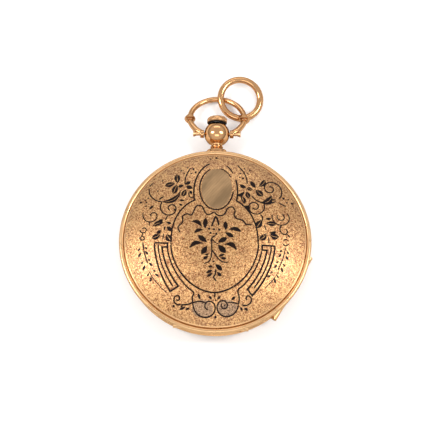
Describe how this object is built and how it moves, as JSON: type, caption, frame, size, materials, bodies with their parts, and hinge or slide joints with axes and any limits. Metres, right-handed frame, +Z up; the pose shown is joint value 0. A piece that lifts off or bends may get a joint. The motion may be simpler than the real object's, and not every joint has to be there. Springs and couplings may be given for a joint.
{
  "type": "pocket watch",
  "caption": "Full hunter pocket watch lying on its back: engraved hinged lid, crown in the pendant, bow with jump ring, and a complete lever movement that turns.",
  "frame": {"origin": "middle of the flat on the back cover, on the surface that the watch lies on", "axes": "+Z up from the back cover to the front lid; +Y from the middle of the case to the pendant and crown; +X to the right as seen from the front with the pendant at the top; twelve o'clock of the dial lies towards -X"},
  "size_m": [0.0404, 0.0582, 0.0112],
  "materials": {
    "case_gold": "polished rose-gold, light wear",
    "lid_gold": "stippled rose-gold ground with black enamel ornament and a bare hatched cartouche",
    "pendant_gold": "polished pink gold",
    "crystal_glass": "clear polished glass",
    "dial_enamel": "white fired enamel with black Roman numerals",
    "blued_steel": "heat-blued polished steel",
    "polished_steel": "polished and brushed steel",
    "gilt_plate": "matt gilt brass",
    "nickel_bridge": "nickelled, striped bridges with bevelled edges",
    "wheel_brass": "circular-grained brass",
    "ruby": "polished ruby"
  },
  "bodies": {
    "watch": {"case_band": "case_gold", "front_hinge_pin": "case_gold", "back_hinge_pin": "case_gold", "bezel": "case_gold", "crystal": "crystal_glass", "dial": "dial_enamel", "pendant": "pendant_gold", "bow_screws": "pendant_gold", "lift_spring": "polished_steel", "spring_screws": "blued_steel", "case_screws": "blued_steel", "main_plate": "gilt_plate", "barrel_bridge": "nickel_bridge", "train_bridge": "nickel_bridge", "balance_cock": "nickel_bridge", "pallet_cock": "nickel_bridge", "bridge_screws": "blued_steel", "jewels": "ruby", "crown_wheel_screw": "blued_steel", "click_spring": "polished_steel", "hairspring": "blued_steel", "hairspring_stud": "polished_steel", "regulator": "polished_steel"},
    "front_cover": {"front_lid": "lid_gold"},
    "back_cover": {"back_cover": "case_gold"},
    "dust_cover": {"cuvette": "case_gold"},
    "bow": {"bow": "pendant_gold"},
    "jump_ring": {"jump_ring": "pendant_gold"},
    "push_piece": {"push_sleeve": "polished_steel"},
    "crown": {"crown": "pendant_gold", "winding_stem": "polished_steel"},
    "lock_spring": {"lock_spring": "polished_steel"},
    "winding_pinion": {"winding_pinion": "polished_steel", "sliding_pinion": "polished_steel"},
    "crown_wheel": {"crown_wheel": "polished_steel"},
    "ratchet": {"ratchet_wheel": "polished_steel", "ratchet_screw": "blued_steel", "barrel_arbor": "polished_steel"},
    "click": {"click": "polished_steel"},
    "barrel": {"barrel": "gilt_plate", "mainspring": "polished_steel"},
    "centre": {"centre_wheel": "wheel_brass", "cannon_pinion": "polished_steel", "minute_hand": "blued_steel"},
    "third": {"third_wheel": "wheel_brass"},
    "fourth": {"fourth_wheel": "wheel_brass", "seconds_hand": "blued_steel"},
    "escape": {"escape_wheel": "polished_steel"},
    "pallets": {"pallet_fork": "polished_steel", "pallet_stones": "ruby"},
    "balance": {"balance_wheel": "wheel_brass", "balance_screws": "wheel_brass", "balance_staff": "polished_steel"},
    "minute_wheel": {"minute_wheel": "wheel_brass"},
    "hour": {"hour_wheel": "wheel_brass", "hour_hand": "blued_steel"}
  },
  "joints": [
    {"name": "front_lid_hinge", "type": "hinge", "parent": "watch", "child": "front_cover", "pos_m": [-0.00064, -0.01839, 0.0063], "axis": [0.9994, -0.0349, 0], "range_deg": [0, 90]},
    {"name": "back_cover_hinge", "type": "hinge", "parent": "watch", "child": "back_cover", "pos_m": [0.01609, -0.00892, 0.0033], "axis": [-0.4848, -0.8746, 0], "range_deg": [0, 100]},
    {"name": "dust_cover_hinge", "type": "hinge", "parent": "watch", "child": "dust_cover", "pos_m": [0.01609, -0.00892, 0.0033], "axis": [-0.4848, -0.8746, 0], "range_deg": [0, 80]},
    {"name": "bow_hinge", "type": "hinge", "parent": "watch", "child": "bow", "pos_m": [0, 0.0246, 0.0046], "axis": [1, 0, 0], "range_deg": [-60, 110]},
    {"name": "jump_ring_hinge", "type": "hinge", "parent": "bow", "child": "jump_ring", "pos_m": [0.00065, 0.03398, 0.0008], "axis": [1, 0, 0], "range_deg": [-2, 40]},
    {"name": "crown_push", "type": "slide", "parent": "watch", "child": "push_piece", "axis": [0, -1, 0], "range_m": [0, 0.0003], "stiffness_N_per_m": 200},
    {"name": "crown_turn", "type": "hinge", "parent": "push_piece", "child": "crown", "pos_m": [0, 0.027, 0.0046], "axis": [0, 1, 0], "continuous": true},
    {"name": "lock_spring_flex", "type": "hinge", "parent": "watch", "child": "lock_spring", "pos_m": [-0.01438, 0.00864, 0.0053], "axis": [0, 0, -1], "range_deg": [0, 1.2]},
    {"name": "winding_pinion_turn", "type": "hinge", "parent": "watch", "child": "winding_pinion", "pos_m": [0, 0.012, 0.0046], "axis": [0, 1, 0], "continuous": true},
    {"name": "crown_wheel_turn", "type": "hinge", "parent": "watch", "child": "crown_wheel", "pos_m": [0, 0.0092, 0.0025], "axis": [0, 0, 1], "continuous": true},
    {"name": "ratchet_turn", "type": "hinge", "parent": "watch", "child": "ratchet", "pos_m": [-0.0052, 0.0052, 0.0025], "axis": [0, 0, 1], "continuous": true},
    {"name": "click_rock", "type": "hinge", "parent": "watch", "child": "click", "pos_m": [-0.01049, 0.00368, 0.0025], "axis": [0, 0, 1], "range_deg": [-8, 0], "stiffness_Nm_per_rad": 0.00002},
    {"name": "seconds_turn", "type": "hinge", "parent": "watch", "child": "fourth", "pos_m": [0.0072, 0, 0.004], "axis": [0, 0, -1], "continuous": true},
    {"name": "third_turn", "type": "hinge", "parent": "watch", "child": "third", "pos_m": [0.0043, 0.00287, 0.004], "axis": [0, 0, -1], "continuous": true},
    {"name": "centre_turn", "type": "hinge", "parent": "watch", "child": "centre", "pos_m": [0, 0, 0.004], "axis": [0, 0, -1], "continuous": true},
    {"name": "barrel_turn", "type": "hinge", "parent": "watch", "child": "barrel", "pos_m": [-0.0052, 0.0052, 0.004], "axis": [0, 0, -1], "continuous": true},
    {"name": "escape_turn", "type": "hinge", "parent": "watch", "child": "escape", "pos_m": [0.00655, -0.00368, 0.004], "axis": [0, 0, -1], "continuous": true},
    {"name": "minute_wheel_turn", "type": "hinge", "parent": "watch", "child": "minute_wheel", "pos_m": [0.00107, 0.00185, 0.006], "axis": [0, 0, -1], "continuous": true},
    {"name": "hour_turn", "type": "hinge", "parent": "watch", "child": "hour", "pos_m": [0, 0, 0.006], "axis": [0, 0, -1], "continuous": true},
    {"name": "pallet_rock", "type": "hinge", "parent": "watch", "child": "pallets", "pos_m": [0.00487, -0.00617, 0.0045], "axis": [0, 0, 1], "range_deg": [-4.5, 4.5]},
    {"name": "balance_swing", "type": "hinge", "parent": "watch", "child": "balance", "pos_m": [0.00256, -0.00956, 0.0036], "axis": [0, 0, 1], "range_deg": [-135, 135], "stiffness_Nm_per_rad": 0.0000003}
  ],
  "couplings": [
    {"joint": "dust_cover_hinge", "follows": "back_cover_hinge", "ratio": 0.8},
    {"joint": "lock_spring_flex", "follows": "crown_push", "rad_per_m": 66.7},
    {"joint": "winding_pinion_turn", "follows": "crown_turn", "ratio": 1},
    {"joint": "crown_wheel_turn", "follows": "crown_turn", "ratio": 0.66667},
    {"joint": "ratchet_turn", "follows": "crown_turn", "ratio": -0.54762},
    {"joint": "third_turn", "follows": "seconds_turn", "ratio": -0.13333},
    {"joint": "centre_turn", "follows": "seconds_turn", "ratio": 0.016667},
    {"joint": "barrel_turn", "follows": "seconds_turn", "ratio": -0.0027778},
    {"joint": "escape_turn", "follows": "seconds_turn", "ratio": -10},
    {"joint": "minute_wheel_turn", "follows": "seconds_turn", "ratio": -0.0055556},
    {"joint": "hour_turn", "follows": "seconds_turn", "ratio": 0.0013889}
  ]
}
